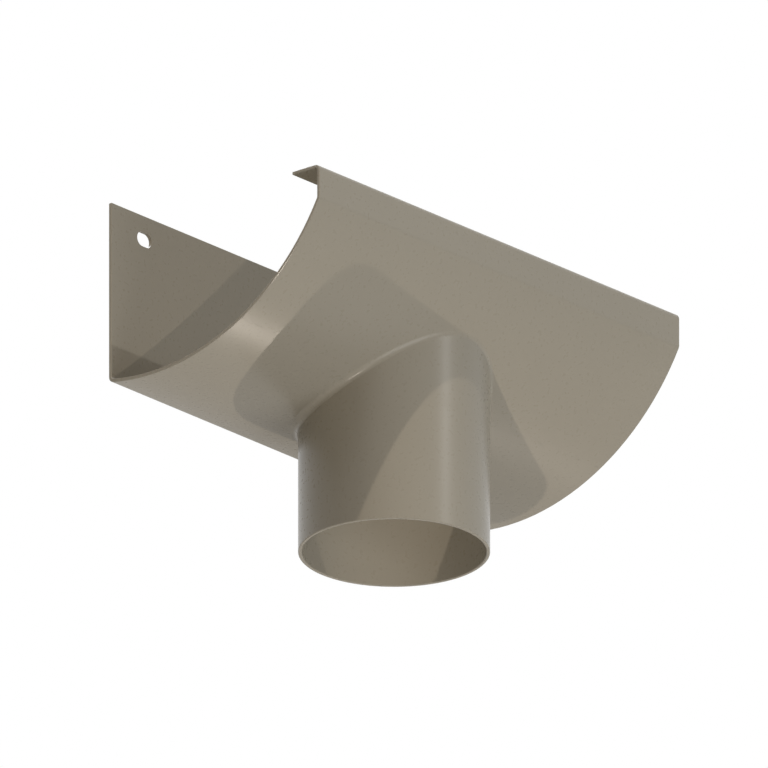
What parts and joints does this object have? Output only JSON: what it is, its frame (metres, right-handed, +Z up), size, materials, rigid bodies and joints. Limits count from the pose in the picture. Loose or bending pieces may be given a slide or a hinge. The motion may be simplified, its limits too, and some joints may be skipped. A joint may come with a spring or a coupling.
{
  "type": "gutter outlet",
  "caption": "Short open-ended length of eaves gutter with a flat slotted back, a curved belly, a turned-in front lip and a round spout that drops into a downpipe.",
  "frame": {"origin": "on the spout's axis, in the plane of its lower rim, which is also the centre of the part's footprint", "axes": "+X along the run of the gutter, +Y towards the building, so that the flat back faces +Y, +Z up, out of the trough's open top"},
  "size_m": [0.25, 0.126, 0.149],
  "materials": {
    "powder_coat": "satin powder coat, warm taupe, on cast aluminium"
  },
  "bodies": {
    "root": {"outlet_body": "powder_coat"}
  },
  "joints": []
}
